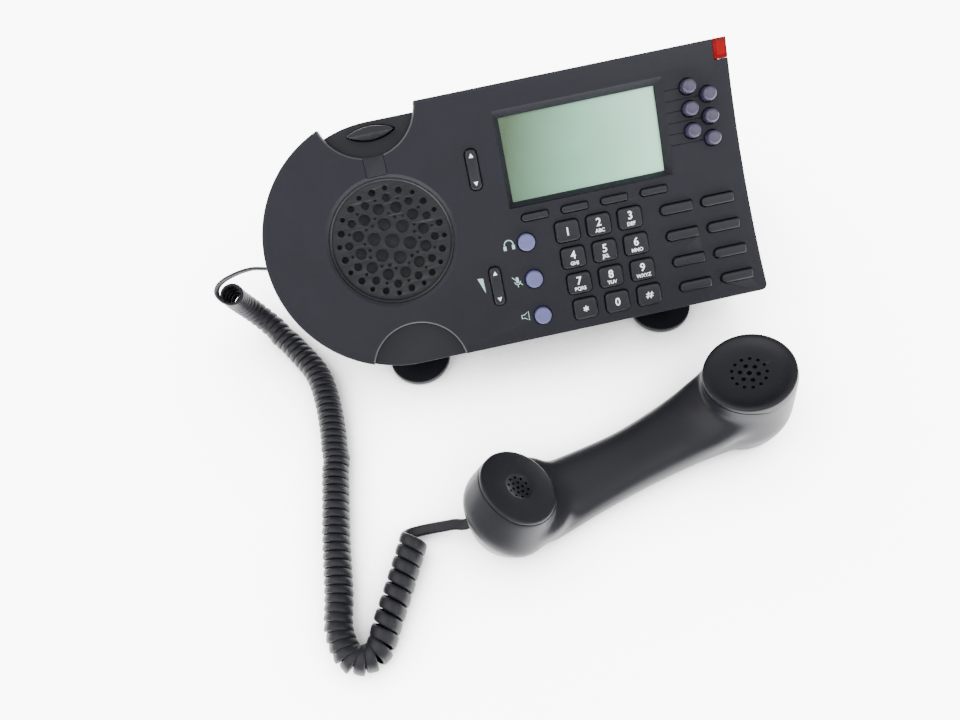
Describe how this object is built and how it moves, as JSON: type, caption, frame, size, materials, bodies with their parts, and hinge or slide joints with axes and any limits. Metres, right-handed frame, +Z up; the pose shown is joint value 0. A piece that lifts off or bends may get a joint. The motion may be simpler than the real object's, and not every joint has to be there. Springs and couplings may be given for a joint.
{
  "type": "desk ip phone",
  "caption": "Office desk IP phone with a tilted face, display, dial pad and speaker, on disc-footed legs, its corded handset lying in front on a curly cord.",
  "frame": {"origin": "on the desk, at the middle of the footprint of the phone and its handset together, without the cord", "axes": "+X along the phone face to its right-hand end, +Y from the user towards the back of the phone, +Z up"},
  "size_m": [0.2971, 0.2789, 0.124],
  "materials": {
    "housing": "satin",
    "dark_housing": "satin",
    "keys": "satin",
    "lilac": "satin",
    "handset": "satin",
    "speaker": "satin",
    "lens": "clear",
    "display": "satin",
    "lamp": "translucent red",
    "board": "solder mask",
    "membrane": "matte",
    "steel": "zinc plated",
    "socket": "satin",
    "plug": "satin",
    "rubber": "matte",
    "cord": "satin"
  },
  "bodies": {
    "base": {"front_shell": "housing", "rear_shell": "dark_housing", "speaker_grille": "dark_housing", "speaker_driver": "speaker", "display_lens": "lens", "display_module": "display", "message_lamp": "lamp", "handset_clip": "housing", "main_board": "board", "keypad_membrane": "membrane", "housing_screws": "steel", "board_sockets": "socket", "left_leg": "dark_housing", "right_leg": "dark_housing", "rubber_feet": "rubber", "base_plug": "plug", "cord_lead_phone": "cord", "curly_cord": "cord", "cord_lead_handset": "cord"},
    "handset": {"handset_front_shell": "handset", "handset_back_shell": "handset", "handset_capsules": "speaker", "handset_jack": "socket", "handset_plug": "plug"},
    "hook": {"hook_switch": "dark_housing"},
    "key_1_body": {"key_1": "keys"},
    "key_2_body": {"key_2": "keys"},
    "key_3_body": {"key_3": "keys"},
    "key_4_body": {"key_4": "keys"},
    "key_5_body": {"key_5": "keys"},
    "key_6_body": {"key_6": "keys"},
    "key_7_body": {"key_7": "keys"},
    "key_8_body": {"key_8": "keys"},
    "key_9_body": {"key_9": "keys"},
    "key_star_body": {"key_star": "keys"},
    "key_0_body": {"key_0": "keys"},
    "key_pound_body": {"key_pound": "keys"},
    "line_button_1_body": {"line_button_1": "lilac"},
    "line_button_2_body": {"line_button_2": "lilac"},
    "line_button_3_body": {"line_button_3": "lilac"},
    "line_button_4_body": {"line_button_4": "lilac"},
    "line_button_5_body": {"line_button_5": "lilac"},
    "line_button_6_body": {"line_button_6": "lilac"},
    "headset_button_body": {"headset_button": "lilac"},
    "mute_button_body": {"mute_button": "lilac"},
    "speaker_button_body": {"speaker_button": "lilac"},
    "softkey_1_body": {"softkey_1": "keys"},
    "softkey_2_body": {"softkey_2": "keys"},
    "softkey_3_body": {"softkey_3": "keys"},
    "softkey_4_body": {"softkey_4": "keys"},
    "function_key_1_body": {"function_key_1": "keys"},
    "function_key_2_body": {"function_key_2": "keys"},
    "function_key_3_body": {"function_key_3": "keys"},
    "function_key_4_body": {"function_key_4": "keys"},
    "function_key_5_body": {"function_key_5": "keys"},
    "function_key_6_body": {"function_key_6": "keys"},
    "function_key_7_body": {"function_key_7": "keys"},
    "function_key_8_body": {"function_key_8": "keys"},
    "scroll_rocker_body": {"scroll_rocker": "keys"},
    "volume_rocker_body": {"volume_rocker": "keys"}
  },
  "joints": [
    {"name": "key_1_press", "type": "slide", "parent": "base", "child": "key_1_body", "axis": [0, 0.6691, -0.7431], "range_m": [0, 0.0012], "stiffness_N_per_m": 400},
    {"name": "key_2_press", "type": "slide", "parent": "base", "child": "key_2_body", "axis": [0, 0.6691, -0.7431], "range_m": [0, 0.0012], "stiffness_N_per_m": 400},
    {"name": "key_3_press", "type": "slide", "parent": "base", "child": "key_3_body", "axis": [0, 0.6691, -0.7431], "range_m": [0, 0.0012], "stiffness_N_per_m": 400},
    {"name": "key_4_press", "type": "slide", "parent": "base", "child": "key_4_body", "axis": [0, 0.6691, -0.7431], "range_m": [0, 0.0012], "stiffness_N_per_m": 400},
    {"name": "key_5_press", "type": "slide", "parent": "base", "child": "key_5_body", "axis": [0, 0.6691, -0.7431], "range_m": [0, 0.0012], "stiffness_N_per_m": 400},
    {"name": "key_6_press", "type": "slide", "parent": "base", "child": "key_6_body", "axis": [0, 0.6691, -0.7431], "range_m": [0, 0.0012], "stiffness_N_per_m": 400},
    {"name": "key_7_press", "type": "slide", "parent": "base", "child": "key_7_body", "axis": [0, 0.6691, -0.7431], "range_m": [0, 0.0012], "stiffness_N_per_m": 400},
    {"name": "key_8_press", "type": "slide", "parent": "base", "child": "key_8_body", "axis": [0, 0.6691, -0.7431], "range_m": [0, 0.0012], "stiffness_N_per_m": 400},
    {"name": "key_9_press", "type": "slide", "parent": "base", "child": "key_9_body", "axis": [0, 0.6691, -0.7431], "range_m": [0, 0.0012], "stiffness_N_per_m": 400},
    {"name": "key_star_press", "type": "slide", "parent": "base", "child": "key_star_body", "axis": [0, 0.6691, -0.7431], "range_m": [0, 0.0012], "stiffness_N_per_m": 400},
    {"name": "key_0_press", "type": "slide", "parent": "base", "child": "key_0_body", "axis": [0, 0.6691, -0.7431], "range_m": [0, 0.0012], "stiffness_N_per_m": 400},
    {"name": "key_pound_press", "type": "slide", "parent": "base", "child": "key_pound_body", "axis": [0, 0.6691, -0.7431], "range_m": [0, 0.0012], "stiffness_N_per_m": 400},
    {"name": "line_button_1_press", "type": "slide", "parent": "base", "child": "line_button_1_body", "axis": [0, 0.6691, -0.7431], "range_m": [0, 0.0012], "stiffness_N_per_m": 400},
    {"name": "line_button_2_press", "type": "slide", "parent": "base", "child": "line_button_2_body", "axis": [0, 0.6691, -0.7431], "range_m": [0, 0.0012], "stiffness_N_per_m": 400},
    {"name": "line_button_3_press", "type": "slide", "parent": "base", "child": "line_button_3_body", "axis": [0, 0.6691, -0.7431], "range_m": [0, 0.0012], "stiffness_N_per_m": 400},
    {"name": "line_button_4_press", "type": "slide", "parent": "base", "child": "line_button_4_body", "axis": [0, 0.6691, -0.7431], "range_m": [0, 0.0012], "stiffness_N_per_m": 400},
    {"name": "line_button_5_press", "type": "slide", "parent": "base", "child": "line_button_5_body", "axis": [0, 0.6691, -0.7431], "range_m": [0, 0.0012], "stiffness_N_per_m": 400},
    {"name": "line_button_6_press", "type": "slide", "parent": "base", "child": "line_button_6_body", "axis": [0, 0.6691, -0.7431], "range_m": [0, 0.0012], "stiffness_N_per_m": 400},
    {"name": "headset_button_press", "type": "slide", "parent": "base", "child": "headset_button_body", "axis": [0, 0.6691, -0.7431], "range_m": [0, 0.0012], "stiffness_N_per_m": 400},
    {"name": "mute_button_press", "type": "slide", "parent": "base", "child": "mute_button_body", "axis": [0, 0.6691, -0.7431], "range_m": [0, 0.0012], "stiffness_N_per_m": 400},
    {"name": "speaker_button_press", "type": "slide", "parent": "base", "child": "speaker_button_body", "axis": [0, 0.6691, -0.7431], "range_m": [0, 0.0012], "stiffness_N_per_m": 400},
    {"name": "softkey_1_press", "type": "slide", "parent": "base", "child": "softkey_1_body", "axis": [0, 0.6691, -0.7431], "range_m": [0, 0.0012], "stiffness_N_per_m": 400},
    {"name": "softkey_2_press", "type": "slide", "parent": "base", "child": "softkey_2_body", "axis": [0, 0.6691, -0.7431], "range_m": [0, 0.0012], "stiffness_N_per_m": 400},
    {"name": "softkey_3_press", "type": "slide", "parent": "base", "child": "softkey_3_body", "axis": [0, 0.6691, -0.7431], "range_m": [0, 0.0012], "stiffness_N_per_m": 400},
    {"name": "softkey_4_press", "type": "slide", "parent": "base", "child": "softkey_4_body", "axis": [0, 0.6691, -0.7431], "range_m": [0, 0.0012], "stiffness_N_per_m": 400},
    {"name": "function_key_1_press", "type": "slide", "parent": "base", "child": "function_key_1_body", "axis": [0, 0.6691, -0.7431], "range_m": [0, 0.0012], "stiffness_N_per_m": 400},
    {"name": "function_key_2_press", "type": "slide", "parent": "base", "child": "function_key_2_body", "axis": [0, 0.6691, -0.7431], "range_m": [0, 0.0012], "stiffness_N_per_m": 400},
    {"name": "function_key_3_press", "type": "slide", "parent": "base", "child": "function_key_3_body", "axis": [0, 0.6691, -0.7431], "range_m": [0, 0.0012], "stiffness_N_per_m": 400},
    {"name": "function_key_4_press", "type": "slide", "parent": "base", "child": "function_key_4_body", "axis": [0, 0.6691, -0.7431], "range_m": [0, 0.0012], "stiffness_N_per_m": 400},
    {"name": "function_key_5_press", "type": "slide", "parent": "base", "child": "function_key_5_body", "axis": [0, 0.6691, -0.7431], "range_m": [0, 0.0012], "stiffness_N_per_m": 400},
    {"name": "function_key_6_press", "type": "slide", "parent": "base", "child": "function_key_6_body", "axis": [0, 0.6691, -0.7431], "range_m": [0, 0.0012], "stiffness_N_per_m": 400},
    {"name": "function_key_7_press", "type": "slide", "parent": "base", "child": "function_key_7_body", "axis": [0, 0.6691, -0.7431], "range_m": [0, 0.0012], "stiffness_N_per_m": 400},
    {"name": "function_key_8_press", "type": "slide", "parent": "base", "child": "function_key_8_body", "axis": [0, 0.6691, -0.7431], "range_m": [0, 0.0012], "stiffness_N_per_m": 400},
    {"name": "scroll_rocker_tilt", "type": "hinge", "parent": "base", "child": "scroll_rocker_body", "pos_m": [-0.01526, 0.05906, 0.09576], "axis": [1, 0, 0], "range_deg": [-3, 3], "stiffness_Nm_per_rad": 0.05},
    {"name": "volume_rocker_tilt", "type": "hinge", "parent": "base", "child": "volume_rocker_body", "pos_m": [-0.01476, 0.01396, 0.05514], "axis": [1, 0, 0], "range_deg": [-3, 3], "stiffness_Nm_per_rad": 0.05},
    {"name": "hook_press", "type": "slide", "parent": "base", "child": "hook", "axis": [0, 0.6691, -0.7431], "range_m": [0, 0.004], "stiffness_N_per_m": 150},
    {"name": "handset_lift", "type": "slide", "parent": "base", "child": "handset", "axis": [0, 0, 1], "range_m": [0, 0.15]}
  ]
}
